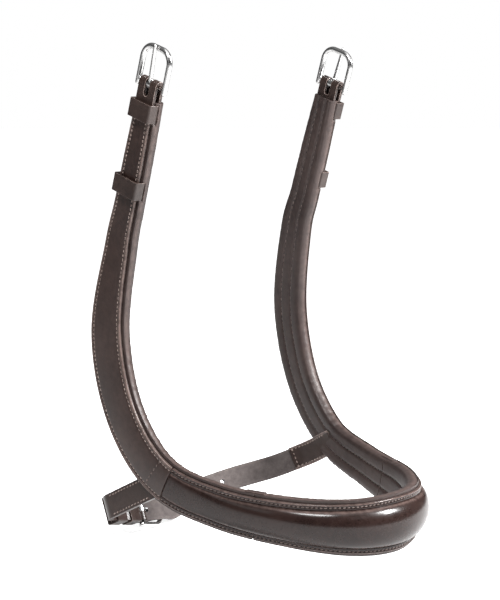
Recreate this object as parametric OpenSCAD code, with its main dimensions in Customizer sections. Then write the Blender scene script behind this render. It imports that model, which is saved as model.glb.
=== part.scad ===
// Padded leather noseband with two cheek straps and a buckled chin strap.
// Units are millimetres. +Z is up, the nose piece faces -Y, the wearer's
// left-hand cheek strap stands at -X. Every dimension is the part as buckled.

/* [Overall shape] */
// half the width across the outer faces of the two cheek straps
half_spread = 86; // [70:1:104]
// how far the front of the nose band lies in front of the frame axis
nose_reach = 119; // [98:1:143]
// height of the top end of the cheek straps above the frame origin
strap_rise = 281.5; // [240:0.5:338]
// height of the middle of the nose band above the frame origin
nose_height = 21.7; // [18:0.1:26]
// backward lean of the straight upper part of each cheek strap, degrees
lean = 17.5; // [14:0.5:21]

/* [Band section] */
// half width of the face leather at the top end of a cheek strap
top_half_w = 7.6; // [6.3:0.1:7.8]
// half width of the face leather along the lower cheek
cheek_half_w = 13; // [10.8:0.1:15.6]
// half width of the face leather at the middle of the nose
nose_half_w = 16.8; // [14:0.1:20.2]
// thickness of the face leather
face_t = 2; // [1.6:0.1:2.4]
// thickness of the inner strengthening strap
backing_t = 1.45; // [1.2:0.05:1.75]
// thickness of the soft filling behind the strengthening strap
foam_t = 4.85; // [4:0.05:5.8]
// thickness of the soft lining leather
lining_t = 1.5; // [1.2:0.1:1.8]
// how far the lining roll stands out past the edge of the face leather
lining_over = 1.2; // [1:0.1:1.5]
// height of the raised nose roll above the face leather
dome_h = 6.5; // [5.4:0.1:7.8]
// space left between one laid-up layer and the next
lay_gap = 0.06; // [0.03:0.01:0.08]

/* [Keepers] */
// length of a keeper loop along its strap
keeper_len = 11.5; // [9.5:0.1:13.8]
// thickness of the keeper leather
keeper_t = 1.6; // [1.3:0.1:1.9]
// free height under the upper side of a cheek keeper
keeper_room = 1.6; // [1.3:0.1:1.9]

/* [Buckles] */
// radius of the buckle bar
bar_r = 1.5; // [1.25:0.05:1.8]
// radius of the rounded rail of the buckle frame
rail_r = 1.8; // [1.5:0.05:2.1]
// half width of a buckle frame, bar middle to rail middle
frame_half_w = 12.6; // [11.6:0.1:15]
// straight length of the rail above the bar, where the bow starts
rail_straight = 14.4; // [12:0.1:17.3]
// radius of the two rounded corners of the bow
bow_r = 8.4; // [7:0.1:10]
// radius of the tongue at its root
tongue_r = 1.4; // [1.2:0.05:1.65]
// radial running clearance between a bar and what turns on it
run_gap = 0.05; // [0.02:0.01:0.09]
// half width of a buckle tab, the leather that holds the bar
tab_half_w = 8.2; // [6.9:0.1:9.4]
// thickness of one layer of tab leather
tab_leather = 2; // [1.7:0.1:2.3]

/* [Chin strap] */
// width of the chin strap
chin_w = 16; // [13.4:0.1:17.6]
// thickness of the chin strap
chin_t = 2.6; // [2.2:0.1:3]
// thickness of the doubled chin buckle tab
chin_tab_t = 3.2; // [2.8:0.1:3.8]
// distance from the fold of the chin tab to the chin buckle bar
chin_bar_at = 41; // [40:0.5:44]
// thickness of the short stiffener sewn inside the chin strap
stiffener_t = 1.8; // [1.5:0.1:2.1]
// radius of the punched holes
hole_r = 1.7; // [1.4:0.1:2]

/* [Hidden] */
$fn = 40;
e = 0.01;
n_back = face_t + lay_gap;                 // depth of strengthening strap
n_foam = n_back + backing_t + lay_gap;     // depth of filling
n_lin = n_foam + foam_t + lay_gap;         // depth of lining
n_all = n_lin + lining_t;                  // whole thickness of the band
hx = half_spread / 86;
ny = nose_reach / 119;
nz = nose_height / 21.7;
bend_z = 43;                               // height where the cheek turns forward
hz = (strap_rise - bend_z) / 238.5;
top_y = 17.5;
sl = sin(lean); cl = cos(lean);
function on_top(z) = [-half_spread, top_y - z * sl, strap_rise + z * cl];

// control points of the left half of the band, top end first:
// [point, facing about Z, twist, half width, raise of the face]
low = [
  [on_top(0),                         -90,  0, top_half_w,               0.0],
  [on_top(-35),                       -90,  0, top_half_w + 1.4,         0.0],
  [on_top(-70),                       -90,  0, top_half_w + 2.0,         0.0],
  [on_top(-98),                       -89,  0, (top_half_w + cheek_half_w) / 2 + 0.4, 0.5],
  [[-89 * hx, 55, bend_z + 88 * hz],               -84,  1, cheek_half_w,             0.8],
  [[-88.6 * hx, 41.5, bend_z + 36 * hz],            -82,  1, cheek_half_w,             1.0],
  [[-85 * hx, 10, bend_z],                -79,  1, cheek_half_w - 0.5,       1.0],
  [[-75.5 * hx, -34 * ny, 29.5],      -74, -3, cheek_half_w - 0.3,       1.0],
  [[-57 * hx, -79.5 * ny, 24 * nz],   -61, -9, nose_half_w - 2.3,        1.0],
  [[-32 * hx, -109 * ny, 22 * nz],    -34, -4, nose_half_w - 0.9,        1.0],
  [[0, -119 * ny, 21.7 * nz],           0,  0, nose_half_w,              1.0]];
NC = len(low) - 1;
function mir(r) = [[-r[0][0], r[0][1], r[0][2]], -r[1], r[2], r[3], r[4]];
ctrl = [for (i = [0 : 2 * NC]) i <= NC ? low[i] : mir(low[2 * NC - i])];

function cr(a, b, c, d, t) = 0.5 * (2 * b + (c - a) * t
    + (2 * a - 5 * b + 4 * c - d) * t * t + (3 * b - a - 3 * c + d) * t * t * t);
function at(L, i) = i < 0 ? 2 * L[0] - L[1]
    : i >= len(L) ? 2 * L[len(L) - 1] - L[len(L) - 2] : L[i];
function spl(L, u) = let (i = min(floor(u), len(L) - 2), t = u - i)
    cr(at(L, i - 1), at(L, i), at(L, i + 1), at(L, i + 2), t);
CP = [for (r = ctrl) r[0]];
CA = [for (r = ctrl) r[1]];
CT = [for (r = ctrl) r[2]];
CW = [for (r = ctrl) r[3]];
CC = [for (r = ctrl) r[4]];
function unit(v) = v / norm(v);
// frame of the band at u: [point, width direction, outward direction]
function band(u) = let (p = spl(CP, u), a = spl(CA, u), k = spl(CT, u),
    t = unit(spl(CP, min(u + 0.02, 2 * NC)) - spl(CP, max(u - 0.02, 0))),
    n0 = [sin(a) * cos(k), -cos(a) * cos(k), sin(k)],
    w = unit(cross(n0, t)), n = unit(cross(t, w)))
    [p, w, n];
function half_w(u) = spl(CW, u);
function crown(u) = max(0, spl(CC, u));

// skin over a list of equal rings of points, closed at both ends; other
// says, ring by ring, which sides are split along the other diagonal, so that
// two layers that face each other are split alike and can't cross; turned
// is for a section whose points go round the other way
function back(L) = [for (i = [len(L) - 1 : -1 : 0]) L[i]];
module skin(rings, other = [], turned = false) {
  m = len(rings[0]); k = len(rings);
  f = concat([[for (j = [m - 1 : -1 : 0]) j]],
    [for (i = [0 : k - 2]) for (j = [0 : m - 1]) let (a = i * m + j,
      b = i * m + (j + 1) % m, o = len(other) > i && len(search(j, other[i])) > 0)
      each o ? [[a, b + m, a + m], [a, b, b + m]] : [[a, b, a + m], [b, b + m, a + m]]],
    [[for (j = [0 : m - 1]) (k - 1) * m + j]]);
  polyhedron(points = [for (r = rings) for (p = r) p],
    faces = turned ? [for (q = f) back(q)] : f);
}
function ring(f, pts) = [for (q = pts) f[0] + f[1] * q[0] + f[2] * q[1]];
// the sections every layer shares: its two ends and the grid between them
function grid(a, b, k) = concat([a], [for (i = [ceil(a * k + 0.2) : floor(b * k - 0.2)]) i / k], [b]);
gk = 6;

// section shapes: [across the width, out from the band surface]
function sec_face(u) = let (h = half_w(u), c = crown(u))
  [[-h, -face_t], [-h, -0.6], [-h + 0.7, 0], [-h * 0.75, c * 0.25], [-h * 0.4, c * 0.8],
   [0, c], [h * 0.4, c * 0.8], [h * 0.75, c * 0.25], [h - 0.7, 0], [h, -0.6], [h, -face_t]];
function rise(u) = let (d = abs(u - NC)) dome_h * (d > 3.9 ? 0.14 : d > 1.4
    ? 0.57 + 0.43 * cos(180 * (d - 1.4) / 2.5) : 1);
flange = 3.8;
function dome(u, x) = rise(u) * pow(max(0, 1 - pow(x, 2)), 0.62);
dx = [-1, -0.93, -0.8, -0.6, -0.3, 0, 0.3, 0.6, 0.8, 0.93, 1];
function sec_nose(u) = let (h = half_w(u), d = h - flange)
  concat([[-h, -face_t], [-h, -0.6], [-h + 0.7, 0]], [for (x = dx) [d * x, dome(u, x)]],
    [[h - 0.7, 0], [h, -0.6], [h, -face_t]],
    [for (i = [10 : -1 : 0]) let (x = dx[i]) [(d - 1.2) * x, max(dome(u, x) - 2.1, 0.45 - face_t)]]);
function sec_core(u) = let (h = half_w(u), d = h - flange - 1.4)
  concat([[-d, 0.06 - face_t]], [for (x = dx) [(d - 0.1) * x, max(dome(u, x) - 2.25, 0.36 - face_t)]],
    [[d, 0.06 - face_t]]);
function sec_back(u) = let (h = half_w(u) - 1)
  [[-h, -n_back - backing_t], [-h, -n_back], [h, -n_back], [h, -n_back - backing_t]];
function sec_foam(u) = let (h = half_w(u) + lining_over - 1.5)
  [[-h, -n_foam], [h, -n_foam], [h, -n_lin + 1], [h - 1.2, -n_lin + 0.05],
   [-h + 1.2, -n_lin + 0.05], [-h, -n_lin + 1]];
function sec_lining(u) = let (h = half_w(u) + lining_over, g = h * 0.36)
  [[-h + 1.4, -n_back], [-h + 0.3, -n_back], [-h, -n_back - 1.2], [-h - 0.2, -n_back - 3.4],
   [-h, -n_all + 2.2], [-h + 1, -n_all + 0.5], [-h + 2.4, -n_all],
   [-g - 1.2, -n_all], [-g, -n_all + 0.8], [-g + 1.6, -n_all + 0.1],
   [g - 1.6, -n_all + 0.1], [g, -n_all + 0.8], [g + 1.2, -n_all],
   [h - 2.4, -n_all], [h - 1, -n_all + 0.5], [h, -n_all + 2.2],
   [h + 0.2, -n_back - 3.4], [h, -n_back - 1.2], [h - 0.3, -n_back], [h - 1.4, -n_back],
   [h - 1.4, -n_lin + 1], [h - 2.6, -n_lin], [-h + 2.6, -n_lin], [-h + 1.4, -n_lin + 1]];

module face_run(a, b) skin([for (u = grid(a, b, gk)) ring(band(u), sec_face(u))]);
module nose_run(a, b) skin([for (u = grid(a, b, gk)) ring(band(u), sec_nose(u))], turned = true);
module core_run(a, b) skin([for (u = grid(a, b, gk)) ring(band(u), sec_core(u))]);
module back_run(a, b) skin([for (u = grid(a, b, gk)) ring(band(u), sec_back(u))],
  [for (u = grid(a, b, gk)) concat(u < 2 * NC - u_join - 0.02 ? [1] : [], u < 2 * NC - u_lin - 0.02 ? [3] : [])]);
module foam_run(a, b) skin([for (u = grid(a, b, gk)) ring(band(u), sec_foam(u))]);
module lining_run(a, b) skin([for (u = grid(a, b, gk)) ring(band(u), sec_lining(u))], turned = true);

// places a thing on the straight top of the left cheek strap:
// x inward through the band, y to the back edge, z up along the strap
module on_cheek() translate([-half_spread, top_y, strap_rise]) rotate([lean, 0, 0]) children();

// ---- buckle: the bar lies along Y at the origin, the frame stands up +Z,
// the outer side is -X
ring_r = bar_r + run_gap + tab_leather;
module frame_solid(hw = frame_half_w) {
  rotate([90, 0, 0]) cylinder(r = bar_r, h = 2 * hw, center = true);
  for (s = [-1, 1]) {
    translate([0, s * hw, -2.4]) cylinder(r = rail_r, h = rail_straight + 2.4);
    translate([0, s * hw, -2.4]) sphere(r = rail_r);
  }
  for (s = [0, 1]) mirror([0, s, 0]) translate([0, hw - bow_r, rail_straight])
    rotate([90, 0, 90]) rotate_extrude(angle = 90) translate([bow_r, 0]) circle(r = rail_r);
  translate([0, 0, rail_straight + bow_r]) rotate([90, 0, 0])
    cylinder(r = rail_r, h = 2 * (hw - bow_r), center = true);
}
tip_z = rail_straight + bow_r;
tip_x = -(rail_r + 1.15 + 0.05);
module tongue_solid() {
  difference() {
    union() {
      rotate([90, 0, 0]) cylinder(r = bar_r + run_gap + 1.5, h = 3.6, center = true);
      a = atan2(tip_x + 1.5, tip_z - 1.5);
      translate([-1.5, 0, 1.5]) rotate([0, a, 0]) {
        cylinder(r1 = tongue_r, r2 = 1.1, h = tip_z);
        translate([0, 0, tip_z]) sphere(r = 1.1);
      }
    }
    rotate([90, 0, 0]) cylinder(r = bar_r + run_gap, h = 10, center = true);
  }
}
bar_x = ring_r;             // depth of the bar behind the band surface
bar_z = 10;
slot_half = 2.1;

module buckle_tab() on_cheek() difference() {
  rotate([90, 0, 0]) linear_extrude(height = 2 * tab_half_w, center = true) union() {
    translate([0, 0.05 - 35 * u_top]) square([tab_leather, bar_z + 35 * u_top - 0.05]);
    translate([2 * ring_r - tab_leather, 0.3]) square([tab_leather, bar_z - 0.3]);
    translate([bar_x, bar_z]) intersection() {
      circle(r = ring_r); translate([-9, -0.6]) square([18, 9.6]);
    }
  }
  translate([bar_x, 0, bar_z]) rotate([90, 0, 0]) cylinder(r = bar_r + run_gap, h = 40, center = true);
  translate([bar_x - (bar_r + run_gap), -20, -8]) cube([2 * (bar_r + run_gap), 40, bar_z + 8]);
  translate([-1, -slot_half, 4.2]) cube([20, 2 * slot_half, 20]);
  translate([-1, 0, 4.2]) rotate([0, 90, 0]) cylinder(r = slot_half, h = 20);
}
module at_bar() on_cheek() translate([bar_x, 0, bar_z]) children();

// ---- keepers on the cheek strap
up_keeper_z = -7; low_keeper_z = -57;
module keeper_loop(hw, z) on_cheek() translate([0, 0, z - keeper_len / 2])
  linear_extrude(height = keeper_len) difference() {
    translate([-keeper_room - keeper_t, -hw - keeper_t])
      offset(r = 1.4) offset(delta = -1.4)
      square([keeper_room + keeper_t + n_foam + 1, 2 * (hw + keeper_t)]);
    translate([-keeper_room, -hw]) offset(r = 0.5) offset(delta = -0.5)
      square([keeper_room + n_foam - lay_gap / 2, 2 * hw]);
  }
module keeper_room_cut(hw, z) on_cheek()
  translate([-9, -hw - keeper_t - 0.05, z - keeper_len / 2 - 0.05])
    cube([9 + n_foam + 1.05, 2 * (hw + keeper_t) + 0.1, keeper_len + 0.1]);
up_hw = top_half_w + 0.75;
low_hw = top_half_w + 2.1;

// ---- chin strap: own frame, x along the strap from the fold, y outward
fold = [-half_spread - 3, 57.5, 14];
module on_chin() translate(fold) rotate([-29, 0, 0]) rotate([0, 5.5, 0]) rotate([0, 0, 19]) children();
function rx(a, v) = [v[0], v[1] * cos(a) - v[2] * sin(a), v[1] * sin(a) + v[2] * cos(a)];
function ry(a, v) = [v[0] * cos(a) + v[2] * sin(a), v[1], -v[0] * sin(a) + v[2] * cos(a)];
function rzz(a, v) = [v[0] * cos(a) - v[1] * sin(a), v[0] * sin(a) + v[1] * cos(a), v[2]];
function chin_dir(v) = rx(-29, ry(5.5, rzz(19, v)));
function chin_pt(x, y) = fold + chin_dir([x, y, 0]);
tab_a = 10.5;     // angle of the first leg of the chin tab off square
leg = 53;
bend_r = 7;
ht = chin_tab_t / 2;
// the tab seen edge on: leg into the cheek, fold, leg to the bar
tl = bend_r * tan((90 - tab_a) / 2);
fold_n = 10;
function fold_side(r) = [for (i = [0 : fold_n]) let (g = 180 + (-tab_a) * (1 - i / fold_n) - 90 * i / fold_n)
  [tl + r * cos(g), -bend_r + r * sin(g)]];
module chin_tab_flat() {
  c = cos(tab_a); q = sin(tab_a);
  polygon(concat(
    [[-leg * q - ht * c, -leg * c + ht * q]], fold_side(bend_r + ht), [[chin_bar_at, ht]],
    [[chin_bar_at, -ht]], [for (i = [fold_n : -1 : 0]) fold_side(bend_r - ht)[i]],
    [[-leg * q + ht * c, -leg * c - ht * q]]));
  translate([chin_bar_at, 0]) circle(r = bar_r + run_gap + chin_tab_t / 2);
}
module at_chin_bar() on_chin() translate([chin_bar_at, 0, 0])
  rotate([-90, 0, 0]) rotate([0, 90, 0]) children();
module chin_tab_root_room(g) on_chin() rotate([0, 0, -tab_a])
  translate([-ht - g, -leg - g, -chin_w / 2 - g]) cube([2 * ht + 2 * g, 40, chin_w + 2 * g]);

yo = ht + lay_gap + chin_t / 2;            // strap lying on the tab
ym = bar_r + run_gap + chin_tab_t / 2 + chin_t / 2 + 0.4;   // strap over the bar
yi = -(rail_r + chin_t / 2 + 0.12);        // strap under the far rail
b = chin_bar_at;
strap_pts = [
  chin_pt(9, yo), chin_pt(17, yo), chin_pt(25, yo), chin_pt(b - 9, yo), chin_pt(b - 6, yo + 0.25), chin_pt(b - 2.5, ym - 0.35),
  chin_pt(b + 1, ym), chin_pt(b + 5, ym - 0.4), chin_pt(b + 9.5, 1.6), chin_pt(b + 14, -1.7), chin_pt(b + 18.5, yi - 0.15),
  chin_pt(b + 25, yi - 0.5), chin_pt(b + 33, yi - 1.5),
  [2 * hx, 75, 3.2], [35 * hx, 69, 9.2], [65 * hx, 53, 16.5], [79 * hx, 38.5, 24.6],
  [80.6 * hx, 26, 31], [79.2 * hx, 16, 36.4], [77.6 * hx, 6, 41.5]];
NS = len(strap_pts) - 1;
strap_w = [for (i = [0 : NS]) let (k = max(0, min(1, (i - 12) / 5)))
  unit(chin_dir([0, 0, 1]) * (1 - k) + [-0.09, 0.48, 0.87] * k)];
function chin_at(u) = let (p = spl(strap_pts, u),
    t = unit(spl(strap_pts, min(u + 0.03, NS)) - spl(strap_pts, max(u - 0.03, 0))),
    w0 = spl(strap_w, u), n = unit(cross(w0, t)), w = unit(cross(t, n))) [p, w, n];
// section of the strap; n points outward, away from the jaw
function sec_strap(hw, a, c) = [[-hw + 0.4, a], [-hw, a + 0.4], [-hw, c - 0.4], [-hw + 0.4, c],
  [hw - 0.4, c], [hw, c - 0.4], [hw, a + 0.4], [hw - 0.4, a]];
module strap_run(a, c, hw, lo, hi, other = []) skin([for (u = grid(a, c, 5)) ring(chin_at(u), sec_strap(hw, lo, hi))],
  [for (u = grid(a, c, 5)) other], true);
function hole_at(u) = chin_at(u);
module punch(u, r) { f = chin_at(u); translate(f[0])
  rotate([0, acos(f[2][2]), atan2(f[2][1], f[2][0])]) cylinder(r = r, h = 12, center = true); }

chin_keeper_in = [-ht - 0.06, yo + chin_t / 2 + 0.5];
module chin_keeper(x) on_chin() translate([x, 0, 0]) rotate([90, 0, 90]) linear_extrude(height = 11) difference() {
    translate([chin_keeper_in[0] - 1.3, -chin_w / 2 - 1.5]) offset(r = 1.1) offset(delta = -1.1)
      square([chin_keeper_in[1] - chin_keeper_in[0] + 2.6, chin_w + 3]);
    translate([chin_keeper_in[0], -chin_w / 2 - 0.2]) offset(r = 0.3) offset(delta = -0.3)
      square([chin_keeper_in[1] - chin_keeper_in[0], chin_w + 0.4]);
  }

brown = [0.22, 0.17, 0.15]; dark = [0.16, 0.12, 0.11]; soft = [0.3, 0.25, 0.23];
pad = [0.75, 0.7, 0.6]; steel = [0.78, 0.79, 0.8];
u_join = 6 + 1 / 6; u_lin = 7.5; u_top = 1 / 6;
join_gap = 0.46;            // gap left where two pieces of one layer meet
function step_past(u) = 0.04 * join_gap / norm(spl(CP, u + 0.02) - spl(CP, u - 0.02));
module left_face() difference() {
  face_run(u_top, u_join);
  chin_tab_root_room(0.05);
}
module left_lining() difference() {
  lining_run(0, u_lin);
  keeper_room_cut(up_hw, up_keeper_z);
  keeper_room_cut(low_hw, low_keeper_z);
  chin_tab_root_room(0.05);
}
module left_foam() difference() {
  foam_run(0.02, u_lin);
  keeper_room_cut(up_hw, up_keeper_z);
  keeper_room_cut(low_hw, low_keeper_z);
  chin_tab_root_room(0.05);
}
module right_pocket() strap_run(NS - 3, NS, chin_w / 2 + 0.6, -chin_t / 2 - stiffener_t - 0.15, chin_t / 2 + 0.06);
module right_lining() difference() {
  mirror([1, 0, 0]) lining_run(0, u_lin);
  mirror([1, 0, 0]) keeper_room_cut(up_hw, up_keeper_z);
  mirror([1, 0, 0]) keeper_room_cut(low_hw, low_keeper_z);
  right_pocket();
}
module right_foam() difference() {
  mirror([1, 0, 0]) foam_run(0.02, u_lin);
  mirror([1, 0, 0]) keeper_room_cut(up_hw, up_keeper_z);
  mirror([1, 0, 0]) keeper_room_cut(low_hw, low_keeper_z);
  right_pocket();
}
module backing_strap() color(dark) difference() {
  back_run(0.06, 2 * NC - 0.06);
  chin_tab_root_room(0.05);
}
module left_cheek_face() color(brown) left_face();
module right_cheek_face() color(brown) mirror([1, 0, 0]) face_run(u_top, u_join);
module nose_face() color(brown) nose_run(u_join + step_past(u_join), 2 * NC - u_join - step_past(u_join));
module nose_core() color(pad) core_run(u_join + 1 / 3, 2 * NC - u_join - 1 / 3);
module left_cheek_lining() color(soft) left_lining();
module right_cheek_lining() color(soft) right_lining();
module nose_lining() color(soft) lining_run(u_lin + step_past(u_lin), 2 * NC - u_lin - step_past(u_lin));
module left_cheek_foam() color(pad) left_foam();
module right_cheek_foam() color(pad) right_foam();
module nose_foam() color(pad) foam_run(u_lin + step_past(u_lin), 2 * NC - u_lin - step_past(u_lin));
module left_buckle_tab() color(dark) buckle_tab();
module right_buckle_tab() color(dark) mirror([1, 0, 0]) buckle_tab();
module left_buckle_frame() color(steel) at_bar() frame_solid();
module right_buckle_frame() color(steel) mirror([1, 0, 0]) at_bar() frame_solid();
module left_buckle_tongue() color(steel) at_bar() tongue_solid();
module right_buckle_tongue() color(steel) mirror([1, 0, 0]) at_bar() tongue_solid();
module left_upper_keeper() color(brown) keeper_loop(up_hw, up_keeper_z);
module right_upper_keeper() color(brown) mirror([1, 0, 0]) keeper_loop(up_hw, up_keeper_z);
module left_lower_keeper() color(brown) keeper_loop(low_hw, low_keeper_z);
module right_lower_keeper() color(brown) mirror([1, 0, 0]) keeper_loop(low_hw, low_keeper_z);
module chin_buckle_tab() color(brown) on_chin() difference() {
  linear_extrude(height = chin_w, center = true) chin_tab_flat();
  translate([chin_bar_at, 0, 0]) cylinder(r = bar_r + run_gap, h = 40, center = true);
  translate([chin_bar_at - 5.5, -10, -slot_half]) cube([20, 20, 2 * slot_half]);
}
module chin_buckle_frame() color(steel) at_chin_bar() frame_solid(chin_w / 2 + 2.8);
module chin_buckle_tongue() color(steel) at_chin_bar() tongue_solid();
module chin_fixed_keeper() color(brown) chin_keeper(8);
module chin_runner_keeper() color(brown) chin_keeper(chin_bar_at - 16.9);
module chin_strap() color(dark) difference() {
  strap_run(0, NS, chin_w / 2, -chin_t / 2, chin_t / 2);
  on_chin() translate([0, 0, -1.7]) linear_extrude(height = 3.4)
    polygon([[b + 2.6, -0.4], [b + 20, 0.6], [b + 20, 9], [b + 2.6, 3.4]]);
  for (u = [12.45, 13.22, 13.84]) punch(u, hole_r);
}
module chin_stiffener() color(dark)
  strap_run(NS - 3.4, NS, chin_w / 2 + 0.4, -chin_t / 2 - 0.1 - stiffener_t, -chin_t / 2 - 0.1, [3]);

backing_strap();
left_cheek_face();
right_cheek_face();
nose_face();
nose_core();
left_cheek_lining();
right_cheek_lining();
nose_lining();
left_cheek_foam();
right_cheek_foam();
nose_foam();
left_buckle_tab();
right_buckle_tab();
left_buckle_frame();
right_buckle_frame();
left_buckle_tongue();
right_buckle_tongue();
left_upper_keeper();
right_upper_keeper();
left_lower_keeper();
right_lower_keeper();
chin_buckle_tab();
chin_buckle_frame();
chin_buckle_tongue();
chin_fixed_keeper();
chin_runner_keeper();
chin_strap();
chin_stiffener();
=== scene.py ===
# %% [markdown]
# # A padded noseband, built around its mechanical frame
#
# A noseband is the part of a bridle that goes round the horse's nose. This one
# is a long padded band: two cheek straps with a buckle on top of each, a raised
# nose piece in front, and a chin strap that buckles at the back.
# The frame comes from the CAD model. Blender adds what CAD leaves out: soft
# rolls of lining, thread, grain, edges made paler by polish and by a painted
# highlight, and polished metal.

# %% Load the frame
import math

import bmesh
import bpy
import numpy as np
from mathutils import Matrix, Vector, noise


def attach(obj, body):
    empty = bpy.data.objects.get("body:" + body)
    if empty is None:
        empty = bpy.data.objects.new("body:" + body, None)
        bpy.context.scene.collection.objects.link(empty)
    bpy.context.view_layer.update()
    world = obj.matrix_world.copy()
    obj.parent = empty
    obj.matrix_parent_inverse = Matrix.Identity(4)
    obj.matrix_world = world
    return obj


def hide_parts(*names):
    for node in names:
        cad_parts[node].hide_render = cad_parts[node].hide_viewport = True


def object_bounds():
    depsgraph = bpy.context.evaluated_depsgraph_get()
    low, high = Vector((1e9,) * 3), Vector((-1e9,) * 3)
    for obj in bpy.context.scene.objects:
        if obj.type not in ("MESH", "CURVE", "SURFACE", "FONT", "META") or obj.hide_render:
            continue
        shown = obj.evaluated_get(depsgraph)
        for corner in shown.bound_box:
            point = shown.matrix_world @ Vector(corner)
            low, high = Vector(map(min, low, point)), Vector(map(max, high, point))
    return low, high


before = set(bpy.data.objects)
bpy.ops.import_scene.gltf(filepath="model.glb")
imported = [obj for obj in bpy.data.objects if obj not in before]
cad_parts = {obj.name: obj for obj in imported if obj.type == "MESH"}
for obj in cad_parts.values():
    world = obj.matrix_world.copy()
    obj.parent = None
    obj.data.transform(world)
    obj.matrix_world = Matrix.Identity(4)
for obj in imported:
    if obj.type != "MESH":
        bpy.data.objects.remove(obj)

MM = 0.001
CAD_LOW, CAD_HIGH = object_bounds()

# %% [markdown]
# ## Camera, floor and light
#
# The camera comes first, so that every later piece can be judged through it.
# A long lens from about a metre away keeps the straps nearly parallel. The
# floor is a plain pale sheet, lit evenly by a wide sun. Leather this dark is
# seen mostly through the soft reflections on it, so one strong soft box stands
# above and to the right, a weaker one hangs over the camera's side, and two
# faint ones, far to the right and to the left, fill the shadows.

# %% Camera
AIM_AT = Vector((0, 0, 0.15))
LOOK = Vector((0.7008, 0.7002, -0.1365)).normalized()
DISTANCE = 1.0518


def link(name, data, *materials):
    """a new object in the scene; materials are for a mesh only"""
    piece = bpy.data.objects.new(name, data)
    bpy.context.scene.collection.objects.link(piece)
    for material in materials:
        data.materials.append(material)
    return piece


def make_camera():
    data = bpy.data.cameras.new("camera")
    data.lens = 95.6
    data.sensor_width = 36
    data.shift_x = -0.0208
    data.shift_y = -0.0012
    data.clip_end = 60
    camera = link("camera", data)
    camera.location = AIM_AT - DISTANCE * LOOK
    camera.rotation_mode = "QUATERNION"
    camera.rotation_quaternion = LOOK.to_track_quat("-Z", "Y")
    bpy.context.scene.camera = camera
    return camera


camera = make_camera()
print("camera at", [round(c, 3) for c in camera.location])

# %% [markdown]
# Materials are made from nodes only. A small helper adds a node, sets its
# values and links its inputs, which keeps every recipe below to a few lines.

# %% Material helpers
def new_material(name):
    material = bpy.data.materials.new(name)
    material.use_nodes = True
    nodes = material.node_tree.nodes
    return material, nodes["Principled BSDF"]


def add(tree, kind, inputs=None, **settings):
    node = tree.nodes.new(kind)
    for key, value in settings.items():
        setattr(node, key, value)
    for key, value in (inputs or {}).items():
        if isinstance(value, bpy.types.NodeSocket):
            tree.links.new(value, node.inputs[key])
        else:
            node.inputs[key].default_value = value
    return node


def place(tree):
    return tree.nodes.new("ShaderNodeTexCoord").outputs["Object"]


def grain_noise(tree, scale, detail=4.0, rough=0.55, stretch=None):
    vector = place(tree)
    if stretch:
        vector = add(tree, "ShaderNodeMapping",
                     {"Vector": vector, "Scale": stretch}).outputs["Vector"]
    return add(tree, "ShaderNodeTexNoise", {
        "Vector": vector, "Scale": scale, "Detail": detail,
        "Roughness": rough}).outputs["Fac"]


def remap(tree, value, low, high, start=0.3, end=0.7):
    return add(tree, "ShaderNodeMapRange", {
        "Value": value, "From Min": start, "From Max": end,
        "To Min": low, "To Max": high}).outputs["Result"]


def mix(tree, factor, a, b):
    node = add(tree, "ShaderNodeMix", data_type="RGBA")
    for socket, value in ((node.inputs[0], factor), (node.inputs[6], a),
                          (node.inputs[7], b)):
        if isinstance(value, bpy.types.NodeSocket):
            tree.links.new(value, socket)
        else:
            socket.default_value = value
    return node.outputs[2]


def maths(tree, operation, a, b):
    node = add(tree, "ShaderNodeMath", operation=operation)
    for socket, value in zip(node.inputs, (a, b)):
        if isinstance(value, bpy.types.NodeSocket):
            tree.links.new(value, socket)
        else:
            socket.default_value = value
    return node.outputs[0]


def rgb(red, green, blue):
    """a display colour, 0 to 255, as the linear colour that a shader wants"""
    def linear(c):
        c /= 255
        return c / 12.92 if c < 0.04045 else ((c + 0.055) / 1.055) ** 2.4
    return (linear(red), linear(green), linear(blue), 1)


# %% Floor and light
FLOOR_RADIUS = 9
LIGHTS_AIM = Vector((0, 0, 0.12))


def make_floor():
    mesh = bpy.data.meshes.new("floor")
    level = CAD_LOW.z - 0.0004
    ring = [(FLOOR_RADIUS * math.cos(a), FLOOR_RADIUS * math.sin(a), level)
            for a in np.linspace(0, 2 * math.pi, 49)[:-1]]
    mesh.from_pydata(ring, [], [list(range(len(ring)))])
    floor = link("floor", mesh)
    material, shader = new_material("floor_paper")
    tree = material.node_tree
    tone = remap(tree, grain_noise(tree, 3.0), 0.0, 1.0)
    tree.links.new(mix(tree, tone, (0.9, 0.9, 0.9, 1), (0.94, 0.94, 0.94, 1)),
                   shader.inputs["Base Color"])
    shader.inputs["Roughness"].default_value = 0.9
    shader.inputs["Specular IOR Level"].default_value = 0.0
    shader.inputs["Emission Color"].default_value = (1, 1, 1, 1)
    seen = tree.nodes.new("ShaderNodeLightPath").outputs["Is Camera Ray"]
    tree.links.new(maths(tree, "MULTIPLY", seen, 0.79),
                   shader.inputs["Emission Strength"])
    mesh.materials.append(material)
    return floor


def soft_box(name, where, size, power):
    data = bpy.data.lights.new(name, "AREA")
    data.shape = "RECTANGLE"
    data.size, data.size_y = size
    data.energy = power
    light = link(name, data)
    light.location = where
    aim = LIGHTS_AIM - Vector(where)
    light.rotation_mode = "QUATERNION"
    light.rotation_quaternion = aim.to_track_quat("-Z", "Y")
    return light


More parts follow.
